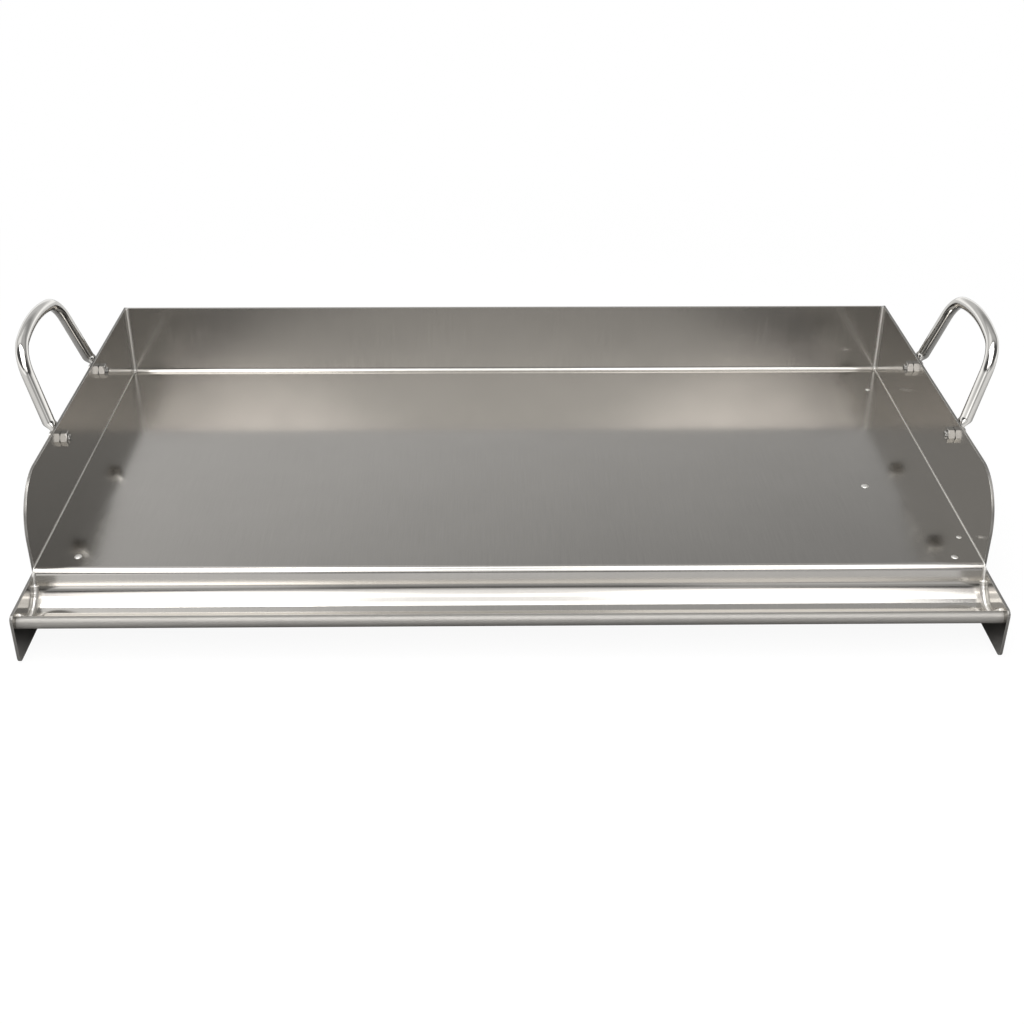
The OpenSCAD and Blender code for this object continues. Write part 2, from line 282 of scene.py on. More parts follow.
def evaluated(obj, name):
    """Plain mesh of an object with its modifiers, after which the object is removed."""
    depsgraph = bpy.context.evaluated_depsgraph_get()
    mesh = bpy.data.meshes.new_from_object(
        obj.evaluated_get(depsgraph), preserve_all_data_layers=True, depsgraph=depsgraph
    )
    mesh.name = name
    bpy.data.objects.remove(obj)
    return mesh


def flatten_normals(mesh, name):
    """Keeps flat faces flat up to the bends that they run into."""
    obj = add(name, mesh)
    weighted = obj.modifiers.new("weighted", "WEIGHTED_NORMAL")
    weighted.keep_sharp = True
    weighted.weight = 50
    return evaluated(obj, name)


def piece(name, mesh, material, body, slot, *nodes):
    """Object of the griddle that rides on a body and stands for its CAD nodes."""
    mesh.materials.clear()
    mesh.materials.append(material)
    obj = add(name, mesh)
    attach(obj, body)
    if nodes:
        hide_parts(*nodes)
    return obj


def dress(node, material):
    """Gives a CAD node its material."""
    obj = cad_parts[node]
    obj.data.materials.clear()
    obj.data.materials.append(material)


def skin(rings, wrap=False):
    """Closed bmesh over rings of points, each ring joined to the next."""
    bm = bmesh.new()
    loops = [[bm.verts.new(p) for p in ring] for ring in rings]
    count = len(loops[0])
    pairs = list(zip(loops, loops[1:]))
    if wrap:
        pairs.append((loops[-1], loops[0]))
    for a, b in pairs:
        for i in range(count):
            j = (i + 1) % count
            bm.faces.new((a[i], a[j], b[j], b[i]))
    if not wrap:
        bm.faces.new(loops[0])
        bm.faces.new(loops[-1])
    return bm


def mirrored(bm, side):
    """The same shape on the given side."""
    if side < 0:
        bmesh.ops.scale(bm, vec=(-1, 1, 1), verts=bm.verts)
    return bm


# Folded cooking sheet and side panels


def ahead(turned):
    return Vector((math.cos(turned), math.sin(turned)))


def left_of(turned):
    return Vector((-math.sin(turned), math.cos(turned)))


def folds(s):
    """Runs, turns and radii along the sheet's cooking side, from the back wall's top edge."""
    edge_turn = math.pi / 2 - s.rear_wall_angle
    outer = s.bend_radius + s.sheet
    lip_front = FRONT_Y + s.lip_setback
    plate_edge = lip_front + s.trough_width
    edge_setback = outer * math.tan(edge_turn / 2)
    gutter_setback = s.gutter_radius * math.tan(edge_turn / 2)
    front_setback = s.bend_radius * math.tan(s.front_wall_angle / 2)
    lip_rise = s.lip_radius * (1 - math.cos(s.front_wall_angle))
    front_wall = (s.trough_depth - s.lip_drop - lip_rise) / math.sin(s.front_wall_angle)
    lip_start = lip_front + s.lip_radius * (1 + math.sin(s.front_wall_angle))
    floor_front = lip_start + front_wall * math.cos(s.front_wall_angle)
    floor_rear = plate_edge - s.trough_depth * math.tan(s.rear_wall_angle)
    back_face = BACK_Y - s.sheet
    return [
        (WALL_TOP - s.plate_height - s.bend_radius, -math.pi / 2, s.bend_radius),
        (back_face - s.bend_radius - plate_edge - edge_setback, edge_turn, outer),
        (
            s.trough_depth / math.cos(s.rear_wall_angle) - edge_setback - gutter_setback,
            -edge_turn,
            s.gutter_radius,
        ),
        (floor_rear - floor_front - gutter_setback - front_setback, -s.front_wall_angle, s.bend_radius),
        (front_wall - front_setback, s.lip_roll, s.lip_radius),
    ]


def fold_marks(s):
    """Distances from the top edge at which each run starts, and at which the bend after it starts."""
    starts, bends, walked = [], [], 0.0
    for run, turn, radius in folds(s):
        starts.append(walked)
        bends.append(walked + run)
        walked += run + abs(turn) * radius
    return starts, bends


def fold_line(s):
    """Stops along the folded sheet's cooking side: (y, z), heading and distance from the top edge."""
    place = Vector((BACK_Y - s.sheet, WALL_TOP))
    heading = -math.pi / 2
    walked = 0.0
    stops = [(place.copy(), heading, walked)]
    for run, turn, radius in folds(s):
        place = place + run * ahead(heading)
        walked += run
        stops.append((place.copy(), heading, walked))
        side = math.copysign(1, turn)
        centre = place + side * radius * left_of(heading)
        count = max(2, math.ceil(abs(turn) / s.arc_step))
        for i in range(1, count + 1):
            now = heading + turn * i / count
            walked += abs(turn) / count * radius
            stops.append((centre - side * radius * left_of(now), now, walked))
        place, heading = stops[-1][0].copy(), stops[-1][1]
    return stops


def folded_sheet(s):
    """Bmesh of the cooking sheet, with its flat pattern as its UV map."""
    bm = bmesh.new()
    flat = bm.loops.layers.uv.new("flat")
    rows = []
    for place, heading, walked in fold_line(s):
        under = place + s.sheet * left_of(heading)
        corners = [(-INNER_X, place), (INNER_X, place), (INNER_X, under), (-INNER_X, under)]
        rows.append(([bm.verts.new((x, p.x, p.y)) for x, p in corners], walked))
    for (a, sa), (b, sb) in zip(rows, rows[1:]):
        for i in range(4):
            j = (i + 1) % 4
            face = bm.faces.new((a[i], a[j], b[j], b[i]))
            for loop in face.loops:
                loop[flat].uv = (loop.vert.co.x, sa if loop.vert in a else sb)
    ends = []
    for row, walked in (rows[0], rows[-1]):
        face = bm.faces.new(row)
        for loop in face.loops:
            loop[flat].uv = (loop.vert.co.x, walked)
        ends += [bm.edges.get((row[0], row[1])), bm.edges.get((row[2], row[3]))]
    bmesh.ops.bevel(bm, geom=ends, offset=s.edge_round, segments=2, affect="EDGES", profile=0.5)
    return bm


def corner_arc(corner, before, after, radius, step):
    """Points that round a corner of an outline, or the corner itself."""
    if radius <= 0:
        return [corner]
    a, b = (before - corner).normalized(), (after - corner).normalized()
    half = a.angle(b) / 2
    centre = corner + (a + b).normalized() * radius / math.sin(half)
    start = corner + a * radius / math.tan(half) - centre
    stop = corner + b * radius / math.tan(half) - centre
    sweep = math.copysign(math.pi - 2 * half, start.x * stop.y - start.y * stop.x)
    first = math.atan2(start.y, start.x)
    count = max(2, math.ceil(abs(sweep) / step))
    return [centre + radius * ahead(first + sweep * i / count) for i in range(count + 1)]


def panel_outline(s):
    """Points round a side panel in the plane of Y and Z."""
    upright = FRONT_Y + s.lip_setback + s.trough_width + s.panel_setback
    trough_top = s.plate_height - s.trough_end_drop
    corners = [
        (FRONT_Y, 0, s.small_corner),
        (BACK_Y, 0, s.small_corner),
        (BACK_Y, WALL_TOP, 0),
        (upright, WALL_TOP, s.panel_corner),
        (upright, trough_top, 0),
        (FRONT_Y, trough_top, s.small_corner),
    ]
    points = [Vector((y, z)) for y, z, _ in corners]
    outline = []
    for i, (_, _, radius) in enumerate(corners):
        outline += corner_arc(points[i], points[i - 1], points[(i + 1) % len(points)], radius, s.arc_step)
    return outline


def circle_points(centre, radius, count):
    return [centre + radius * ahead(2 * math.pi * i / count) for i in range(count)]


def side_panel(s, hole, side):
    """Bmesh of a side panel with its two bolt holes and softened edges."""
    bm = bmesh.new()
    loops = [panel_outline(s)] + [circle_points(Vector((y, BOLT_Z)), hole / 2, 32) for y in BOLT_YS]
    edges = []
    for points in loops:
        verts = [bm.verts.new((INNER_X, p.x, p.y)) for p in points]
        edges += [bm.edges.new((a, b)) for a, b in zip(verts, verts[1:] + verts[:1])]
    filled = bmesh.ops.triangle_fill(bm, use_beauty=True, use_dissolve=False, edges=edges)
    faces = [f for f in filled["geom"] if isinstance(f, bmesh.types.BMFace)]
    raised = bmesh.ops.extrude_face_region(bm, geom=faces, use_keep_orig=True)
    verts = [v for v in raised["geom"] if isinstance(v, bmesh.types.BMVert)]
    bmesh.ops.translate(bm, vec=(OUTER_X - INNER_X, 0, 0), verts=verts)
    bmesh.ops.recalc_face_normals(bm, faces=bm.faces)
    rims = [e for e in bm.edges if e.is_manifold and e.calc_face_angle() > math.radians(60)]
    rims = [e for e in rims if abs(e.verts[0].co.x - e.verts[1].co.x) < 1e-6]
    bmesh.ops.bevel(bm, geom=rims, offset=s.edge_round, segments=2, affect="EDGES", profile=0.5)
    flat = bm.loops.layers.uv.new("flat")
    # Mask of the cut edge faces, by how far they face away from the panel's sides; the panel material
    # darkens them as painted shade and roughens them
    cut = bm.faces.layers.float.new("cut")
    for face in bm.faces:
        face.normal_update()
        face[cut] = 1 - abs(face.normal.x)
        for loop in face.loops:
            loop[flat].uv = (loop.vert.co.y, loop.vert.co.z)
    return mirrored(bm, side)


# Handles


def rounded_route(corners, radii, step):
    """Points along a line whose inner corners are rounded."""
    route = [corners[0]]
    for before, corner, after, radius in zip(corners, corners[1:], corners[2:], radii):
        into, out = (corner - before).normalized(), (after - corner).normalized()
        turn = into.angle(out)
        axis = into.cross(out).normalized()
        start = corner - into * radius * math.tan(turn / 2)
        centre = start + axis.cross(into) * radius
        count = max(2, math.ceil(turn / step))
        for i in range(count + 1):
            point = centre + Matrix.Rotation(turn * i / count, 3, axis) @ (start - centre)
            if (point - route[-1]).length > 1e-6:
                route.append(point)
    route.append(corners[-1])
    return route


def along(route, distances):
    """Places and headings at these distances along a route."""
    starts = [0.0]
    for a, b in zip(route, route[1:]):
        starts.append(starts[-1] + (b - a).length)
    found, i = [], 0
    for d in distances:
        while i < len(route) - 2 and starts[i + 1] < d:
            i += 1
        way = (route[i + 1] - route[i]).normalized()
        found.append((route[i] + way * (d - starts[i]), way))
    return found


def handle_route(h, flat_length):
    """Centreline of the right handle from one foot's end to the other."""
    rod_x = OUTER_X + h.rod / 2 + h.rod_gap
    reach = (BOLT_YS[1] - BOLT_YS[0]) / 2
    middle = (BOLT_YS[1] + BOLT_YS[0]) / 2
    slope_z = math.cos(h.lean) * math.cos(h.leg_angle)
    tangent = h.foot_bend * math.tan(math.acos(slope_z) / 2)
    foot_z = BOLT_Z + flat_length + h.stub + tangent
    corner_turn = math.pi / 2 - h.leg_angle - h.crown_bow
    setback = h.loop_corner * math.tan(corner_turn / 2)
    leg = h.leg_length + setback
    inset = reach - leg * math.sin(h.leg_angle)
    shoulder = leg * math.cos(h.leg_angle)
    peak = shoulder + inset * math.tan(h.crown_bow)
    crown_radius = (inset / math.cos(h.crown_bow) - setback) / math.tan(h.crown_bow)
    end_z = BOLT_Z - h.foot_width / 2

    def on_loop(y, rise):
        return Vector((rod_x + rise * math.sin(h.lean), middle + y, foot_z + rise * math.cos(h.lean)))

    corners = [
        Vector((rod_x, middle - reach, end_z)),
        on_loop(-reach, 0),
        on_loop(-inset, shoulder),
        on_loop(0, peak),
        on_loop(inset, shoulder),
        on_loop(reach, 0),
        Vector((rod_x, middle + reach, end_z)),
    ]
    radii = [h.foot_bend, h.loop_corner, crown_radius, h.loop_corner, h.foot_bend]
    return rounded_route(corners, radii, math.radians(1.5))


def foot_section(h, d, flat_length):
    """Half width, inner face, outer face and squareness of the rod at this distance from a foot's end."""
    eye = h.foot_width / 2
    flat_end = eye + flat_length
    inner_flat = -h.rod / 2 - h.rod_gap
    outer_flat = inner_flat + h.foot_thickness
    shoulder = h.rod / 2 - outer_flat
    blend = min(1.0, max(0.0, (d - flat_end) / shoulder))
    smooth = blend * blend * (3 - 2 * blend)
    disc = math.sqrt(max(0.0, eye * eye - (d - eye) ** 2))
    half = disc if d < eye else max(disc, h.neck_width / 2 * (1 - smooth) + h.rod / 2 * smooth)
    inner = inner_flat * (1 - smooth) - h.rod / 2 * smooth
    outer = outer_flat * (1 - smooth) + h.rod / 2 * smooth
    return half, inner, outer, 7.0 * (1 - smooth) + 2.0 * smooth


def loop_handle(h, f, side, count=36):
    """Mesh of a handle: one rod, flattened and drilled at both ends."""
    flat_length = f.across_flats / math.sqrt(3) + h.flat_clearance
    route = handle_route(h, flat_length)
    total = sum((b - a).length for a, b in zip(route, route[1:]))
    eye = h.foot_width / 2
    first = [eye * (1 - math.cos(math.radians(t))) for t in (8, 16, 26, 38, 50, 62, 75)]
    steps = round((total / 2 - eye) / h.ring_step)
    first += [eye + (total / 2 - eye) * i / steps for i in range(steps + 1)]
    distances = first + [total - d for d in reversed(first[:-1])]
    out = Vector((1, 0, 0))
    rings, last = [], Vector((0, 0, 1))
    for d, (place, way) in zip(distances, along(route, distances)):
        out = last.rotation_difference(way) @ out
        last = way
        across = way.cross(out)
        half, inner, outer, square = foot_section(h, min(d, total - d), flat_length)
        ring = []
        for i in range(count):
            c, sn = ahead(2 * math.pi * i / count)
            a = math.copysign(abs(c) ** (2 / square), c)
            b = math.copysign(abs(sn) ** (2 / square), sn)
            ring.append(place + out * ((inner + outer) / 2 + (outer - inner) / 2 * a) + across * half * b)
        rings.append(ring)
    rod = add("rod", mesh_of(skin(rings), "rod", 50))
    cutters = []
    for i, y in enumerate(BOLT_YS):
        ends = [
            [Vector((x, y + p.x, BOLT_Z + p.y)) for p in circle_points(Vector((0, 0)), f.hole / 2, 32)]
            for x in (OUTER_X - h.rod, OUTER_X + h.rod)
        ]
        cutter = add("drill", mesh_of(skin(ends), "drill"))
        cut = rod.modifiers.new(f"eye {i}", "BOOLEAN")
        cut.operation, cut.solver, cut.object = "DIFFERENCE", "EXACT", cutter
        cutters.append(cutter)
    mesh = evaluated(rod, "rod")
    for cutter in cutters:
        bpy.data.objects.remove(cutter)
    return mesh_of(mirrored(bmesh_from(mesh), side), "rod", 50)


# Bolts and nuts


def polar(radius, turned, z):
    return Vector((radius * math.cos(turned), radius * math.sin(turned), z))


def hexagon_ring(flats, z, slope, inset=0.0, count=72):
    """Ring round a hexagon, shifted along Z toward its corners by the chamfer's slope."""
    ring = []
    for i in range(count):
        t = 2 * math.pi * i / count
        corner = flats / 2 / math.cos((t + math.pi / 6) % (math.pi / 3) - math.pi / 6)
        ring.append(polar(corner - inset, t, z + (corner - flats / 2) * slope))
    return ring


def round_ring(radius, z, count=72):
    return [polar(radius, 2 * math.pi * i / count, z) for i in range(count)]


def nut_mesh(f):
    """Hexagon nut on its seat at the origin, along +Z."""
    flats, top, bore = f.across_flats, f.nut_thickness, f.bore / 2
    face, bore_edge = flats / 2 * 0.97, 0.0004
    rings = [
        round_ring(bore, bore_edge),
        round_ring(bore + bore_edge, 0),
        round_ring(face, 0),
        hexagon_ring(flats, RIM, CHAMFER),
        hexagon_ring(flats, top - RIM, -CHAMFER),
        round_ring(face, top),
        round_ring(bore + bore_edge, top),
        round_ring(bore, top - bore_edge),
    ]
    return mesh_of(skin(rings, wrap=True), "nut", 30)


def bolt_mesh(f, grip):
    """Hexagon bolt with its head above the origin and its thread below."""
    flats, top = f.across_flats, f.head_height
    tip = grip + f.nut_thickness + f.bolt_end
    count, centre, under_edge = 36, 0.0004, 0.0002
    rings = [
        round_ring(centre, top, count),
        round_ring(flats / 2 * 0.95, top, count),
        hexagon_ring(flats, top - RIM, -CHAMFER, 0, count),
        hexagon_ring(flats, under_edge, 0, 0, count),
        hexagon_ring(flats, 0, 0, under_edge, count),
        round_ring(f.bolt / 2, 0, count),
    ]
    step, run_out = f.pitch / 8, 16
    for k in range(int(tip / step) + 1):
        z = min(k * step, tip)
        room = max(0.0, z - (tip - f.end_chamfer))
        ring = []
        for i in range(count):
            turn = i / count
            wave = 0.5 - 0.5 * math.cos(2 * math.pi * (z / f.pitch - turn))
            depth = f.thread_depth * wave * min(1.0, k / run_out)
            radius = min(f.bolt / 2 - depth, f.bolt / 2 - room)
            ring.append(polar(radius, 2 * math.pi * turn, -z - 1e-5))
        rings.append(ring)
    return mesh_of(skin(rings), "bolt", 40)


# Geometry Nodes


def new_tree(name, *inputs):
    """Geometry tree with a geometry input, these named inputs and a geometry output."""
    tree = bpy.data.node_groups.new(name, "GeometryNodeTree")
    tree.interface.new_socket("Geometry", in_out="INPUT", socket_type="NodeSocketGeometry")
    for label, kind in inputs:
        tree.interface.new_socket(label, in_out="INPUT", socket_type=kind)
    tree.interface.new_socket("Geometry", in_out="OUTPUT", socket_type="NodeSocketGeometry")
    start, end = tree.nodes.new("NodeGroupInput"), tree.nodes.new("NodeGroupOutput")
    return tree, start.outputs, end.inputs


def node(tree, kind, inputs=(), **values):
    """Node with properties set by name, and inputs in order or by name to sockets or values."""
    made = tree.nodes.new(kind)
    for key, value in values.items():
        setattr(made, key, value)
    for key, value in inputs.items() if isinstance(inputs, dict) else enumerate(inputs):
        if isinstance(value, bpy.types.NodeSocket):
            tree.links.new(value, made.inputs[key])
        else:
            made.inputs[key].default_value = value
    return made


def maths(tree, operation, *values):
    """Output of a Math node on sockets or numbers."""
    return node(tree, "ShaderNodeMath", values, operation=operation).outputs[0]


def weighed(tree, a, a_share, b, b_share):
    """Sum of two sockets, each times its share."""
    return maths(tree, "ADD", maths(tree, "MULTIPLY", a, a_share), maths(tree, "MULTIPLY", b, b_share))


def attribute(tree, name, kind="FLOAT"):
    made = node(tree, "GeometryNodeInputNamedAttribute", {"Name": name}, data_type=kind)
    return made.outputs["Attribute"]


def bead_tree():
    """Weld bead along a line: rippled, slightly uneven, capped."""
    tree, given, out = new_tree(
        "weld_bead",
        ("Step", "NodeSocketFloat"),
        ("Ripple", "NodeSocketFloat"),
        ("Ripple Length", "NodeSocketFloat"),
        ("Seed", "NodeSocketInt"),
        ("Material", "NodeSocketMaterial"),
    )
    curve = node(tree, "GeometryNodeMeshToCurve", {"Mesh": given["Geometry"]}).outputs["Curve"]
    evenly = {"Curve": curve, "Length": given["Step"]}
    spaced = node(tree, "GeometryNodeResampleCurve", evenly, mode="LENGTH").outputs["Curve"]
    walked = node(tree, "GeometryNodeSplineParameter").outputs["Length"]
    phase = maths(tree, "MULTIPLY", maths(tree, "DIVIDE", walked, given["Ripple Length"]), 2 * math.pi)
    spread = {2: -0.6, 3: 0.6, "Seed": given["Seed"]}
    uneven = node(tree, "FunctionNodeRandomValue", spread, data_type="FLOAT").outputs[1]
    wave = maths(tree, "ADD", maths(tree, "SINE", phase), uneven)
    swell = maths(tree, "ADD", maths(tree, "MULTIPLY", wave, given["Ripple"]), 1.0)
    radius = maths(tree, "MULTIPLY", attribute(tree, "bead"), swell)
    circle = {"Resolution": 12, "Radius": 1.0}
    ring = node(tree, "GeometryNodeCurvePrimitiveCircle", circle).outputs["Curve"]
    sweep = {"Curve": spaced, "Profile Curve": ring, "Scale": radius, "Fill Caps": True}
    tube = node(tree, "GeometryNodeCurveToMesh", sweep).outputs["Mesh"]
    return finish_tree(tree, tube, given["Material"], out)


def placing_tree():
    """A pattern put at each point, turned by the point's own angles and scaled unevenly."""
    tree, given, out = new_tree(
        "placed_pattern",
        ("Pattern", "NodeSocketObject"),
        ("Uneven", "NodeSocketFloat"),
        ("Seed", "NodeSocketInt"),
        ("Material", "NodeSocketMaterial"),
    )
    shape = node(tree, "GeometryNodeObjectInfo", {"Object": given["Pattern"]}).outputs["Geometry"]
    angles = {"Euler": attribute(tree, "turn", "FLOAT_VECTOR")}
    turned = node(tree, "FunctionNodeEulerToRotation", angles).outputs["Rotation"]
    least, most = (maths(tree, operation, 1.0, given["Uneven"]) for operation in ("SUBTRACT", "ADD"))
    spread = {2: least, 3: most, "Seed": given["Seed"]}
    scale = node(tree, "FunctionNodeRandomValue", spread, data_type="FLOAT").outputs[1]
    spots = {"Points": given["Geometry"], "Instance": shape, "Rotation": turned, "Scale": scale}
    shapes = node(tree, "GeometryNodeInstanceOnPoints", spots).outputs["Instances"]
    return finish_tree(tree, shapes, given["Material"], out)


def finish_tree(tree, geometry, material, out):
    """Ends a tree in real geometry with its material."""
    real = node(tree, "GeometryNodeRealizeInstances", {"Geometry": geometry}).outputs["Geometry"]
    painted = node(tree, "GeometryNodeSetMaterial", {"Geometry": real, "Material": material})
    tree.links.new(painted.outputs["Geometry"], out["Geometry"])
    return tree


def grown(name, base, tree, **inputs):
    """Plain mesh that a tree makes from a base mesh."""
    obj = add(name, base)
    grow = obj.modifiers.new("grow", "NODES")
    grow.node_group = tree
    sockets = {i.name: i.identifier for i in tree.interface.items_tree if i.in_out == "INPUT"}
    for label, value in inputs.items():
        grow[sockets[label.replace("_", " ").title()]] = value
    return mesh_of(bmesh_from(evaluated(obj, name)), name, 50)


def tree_named(name, maker):
    return bpy.data.node_groups.get(name) or maker()


def blob(name, radius, stretch):
    """Rounded lump of weld metal."""
    bm = bmesh.new()
    bmesh.ops.create_icosphere(bm, subdivisions=3, radius=radius)
    bmesh.ops.scale(bm, vec=stretch, verts=bm.verts)
    return mesh_of(bm, name)


def line_mesh(lines):
    """Mesh of open lines whose points carry the bead's radius."""
    points, edges, beads = [], [], []
    for line in lines:
        first = len(points)
        points += [p for p, _ in line]
        beads += [r for _, r in line]
        edges += [(first + i, first + i + 1) for i in range(len(line) - 1)]
    mesh = bpy.data.meshes.new("lines")
    mesh.from_pydata(points, edges, [])
    mesh.attributes.new("bead", "FLOAT", "POINT").data.foreach_set("value", beads)
    return mesh


def placed(name, pattern, places, material, uneven=0.0, seed=0):
    """Plain mesh of a pattern at each place, given as (point, turn)."""
    mesh = bpy.data.meshes.new("places")
    mesh.from_pydata([p for p, _ in places], [], [])
    turns = mesh.attributes.new("turn", "FLOAT_VECTOR", "POINT")
    turns.data.foreach_set("vector", [x for _, turn in places for x in turn])
    shape = add("pattern", pattern)
    tree = tree_named("placed_pattern", placing_tree)
    made = grown(name, mesh, tree, pattern=shape, uneven=uneven, seed=seed, material=material)
    bpy.data.objects.remove(shape)
    return made


# Materials


def shader_group(name, inputs, outputs):
    group = bpy.data.node_groups.new(name, "ShaderNodeTree")
    for label, kind, default in inputs:
        made = group.interface.new_socket(label, in_out="INPUT", socket_type=kind)
        if default is not None:
            made.default_value = default
    for label in outputs:
        group.interface.new_socket(label, in_out="OUTPUT", socket_type="NodeSocketFloat")
    return group, group.nodes.new("NodeGroupInput").outputs, group.nodes.new("NodeGroupOutput").inputs


def noise(tree, vector, scale, detail, rough=0.6):
    inputs = {"Vector": vector, "Scale": scale, "Detail": detail, "Roughness": rough}
    return node(tree, "ShaderNodeTexNoise", inputs).outputs["Fac"]


def ranged(tree, value, low, high, to_low=0.0, to_high=1.0, kind="LINEAR", clamp=True):
    span = (value, low, high, to_low, to_high)
    made = node(tree, "ShaderNodeMapRange", span, interpolation_type=kind, clamp=clamp)
    return made.outputs["Result"]


def stretched(tree, vector, *scale):
    """A place multiplied along each axis."""
    factors = node(tree, "ShaderNodeCombineXYZ", scale).outputs[0]
    return node(tree, "ShaderNodeVectorMath", (vector, factors), operation="MULTIPLY").outputs[0]


def brushed_grain():
    """Streaks of belt brushing along the second axis, a few longer scratches, and slow clouds."""
    group, given, out = shader_group(
        "brushed_grain",
        [
            ("Place", "NodeSocketVector", None),
            ("Across", "NodeSocketFloat", 1400.0),
            ("Along", "NodeSocketFloat", 26.0),
            ("Cloud Scale", "NodeSocketFloat", 11.0),
        ],
        ["Streaks", "Scratches", "Clouds"],
    )
    place, across, along_grain, cloud = (given[i] for i in range(4))
    fine = noise(group, stretched(group, place, across, along_grain, 1.0), 1.0, 3.0)
    wider, longer = maths(group, "MULTIPLY", across, 0.31), maths(group, "MULTIPLY", along_grain, 0.22)
    scratch = noise(group, stretched(group, place, wider, longer, 1.0), 1.0, 2.0)
    clouds = noise(group, stretched(group, place, cloud, cloud, 1.0), 1.0, 3.0)
    group.links.new(ranged(group, fine, 0.28, 0.72), out["Streaks"])
    group.links.new(ranged(group, scratch, 0.52, 0.78), out["Scratches"])
    group.links.new(ranged(group, clouds, 0.3, 0.7), out["Clouds"])
    return group


def surface_wear():
    """Faint smears and specks of handled metal."""
    group, given, out = shader_group(
        "surface_wear",
        [("Place", "NodeSocketVector", None), ("Smear Scale", "NodeSocketFloat", 40.0)],
        ["Smears", "Specks"],
    )
    scale = given["Smear Scale"]
    spread = stretched(group, given["Place"], scale, scale, scale)
    smears = noise(group, spread, 1.0, 4.0, 0.55)
    specks = noise(group, spread, 23.0, 1.0)
    group.links.new(ranged(group, smears, 0.45, 0.75), out["Smears"])
    group.links.new(ranged(group, specks, 0.66, 0.74), out["Specks"])
    return group


def metal(name, metal_colour):
    """Material with a plain metal shader; returns it with its tree and shader."""
    made = bpy.data.materials.new(name)
    made.use_nodes = True
    tree = made.node_tree
    shader = tree.nodes["Principled BSDF"]
    shader.inputs["Base Color"].default_value = (*metal_colour, 1)
    shader.inputs["Metallic"].default_value = 1.0
    shader.inputs["Specular Tint"].default_value = (0.8, 0.8, 0.8, 1)
    made.diffuse_color = (*metal_colour, 1)
    return made, tree, shader


def use_group(tree, name, maker, **values):
    inputs = {key.replace("_", " ").title(): value for key, value in values.items()}
    return node(tree, "ShaderNodeGroup", inputs, node_tree=tree_named(name, maker)).outputs


def bumped(tree, shader, height, strength):
    """Gives a shader the relief of a height."""
    relief = {"Strength": strength, "Distance": RELIEF, "Height": height}
    tree.links.new(node(tree, "ShaderNodeBump", relief).outputs["Normal"], shader.inputs["Normal"])


def shaded(tree, base, amount, low, high):
    """The metal's colour, darker and lighter by a mask."""
    level = ranged(tree, amount, 0, 1, low, high, clamp=False)
    grey = node(tree, "ShaderNodeCombineColor", (level, level, level)).outputs["Color"]
    inputs = {"Factor": 1.0, 6: (*base, 1), 7: grey}
    made = node(tree, "ShaderNodeMix", inputs, data_type="RGBA", blend_type="MULTIPLY", clamp_result=True)
    return made.outputs[2]


def brushed_steel(name, base, roughness, brushing, uv=True, dull_and_shaded=None, cut=None):
    """Belt-brushed stainless sheet. Its grain follows the flat pattern, or the object's X and Y.

    For the lip: a distance along the pattern, the painted shade that darkens the sheet's colour past it,
    and how much rougher it is there.
    For the cut edges: the painted shade that darkens their colour, and how much rougher they are.
    """
    made, tree, shader = metal(name, base)
    if uv:
        place = node(tree, "ShaderNodeUVMap", uv_map="flat").outputs["UV"]
        tangent = node(tree, "ShaderNodeTangent", direction_type="UV_MAP", uv_map="flat")
        tree.links.new(tangent.outputs["Tangent"], shader.inputs["Tangent"])
        shader.inputs["Anisotropic"].default_value = brushing
    else:
        place = node(tree, "ShaderNodeTexCoord").outputs["Object"]
    grain = use_group(tree, "brushed_grain", brushed_grain, place=place)
    wear = use_group(tree, "surface_wear", surface_wear, place=place, smear_scale=24.0)
    tone = weighed(tree, grain["Streaks"], 0.55, grain["Clouds"], 0.45)
    tone = ranged(tree, tone, 0, 1, 0.95, 1.05)
    gloss = weighed(tree, grain["Streaks"], 0.6, wear["Smears"], 0.4)
    rough = ranged(tree, gloss, 0, 1, roughness - 0.03, roughness + 0.04)
    if dull_and_shaded or cut:
        if dull_and_shaded:
            axes = node(tree, "ShaderNodeSeparateXYZ", (place,))
            start, shade, added = dull_and_shaded
            fade = 0.004
            worked_and_shaded = ranged(tree, axes.outputs["Y"], start, start + fade)
        else:
            shade, added = cut
            worked_and_shaded = node(tree, "ShaderNodeAttribute", attribute_name="cut").outputs["Fac"]
        # Painted shade: the mask darkens the colour of the lip or of the panels' cut edges
        tone = maths(tree, "MULTIPLY", tone, ranged(tree, worked_and_shaded, 0, 1, 1, shade))
        rough = maths(tree, "ADD", rough, maths(tree, "MULTIPLY", worked_and_shaded, added))
    tree.links.new(shaded(tree, base, tone, 0, 1), shader.inputs["Base Color"])
    tree.links.new(rough, shader.inputs["Roughness"])
    height = maths(tree, "ADD", grain["Streaks"], maths(tree, "MULTIPLY", grain["Scratches"], 0.7))
    bumped(tree, shader, height, 0.02)
    return made


def bright_metal(name, base, roughness, smear, bump_scale, bump_strength):
    """Polished or as-welded bright metal with faint smears."""
    made, tree, shader = metal(name, base)
    place = node(tree, "ShaderNodeTexCoord").outputs["Object"]
    wear = use_group(tree, "surface_wear", surface_wear, place=place, smear_scale=55.0)
    tree.links.new(shaded(tree, base, wear["Smears"], 1.04, 0.93), shader.inputs["Base Color"])
    rough = ranged(tree, wear["Smears"], 0, 1, roughness, roughness + smear)
    tree.links.new(rough, shader.inputs["Roughness"])
    bumped(tree, shader, noise(tree, place, bump_scale, 3.0), bump_strength)
    return made


# Stage


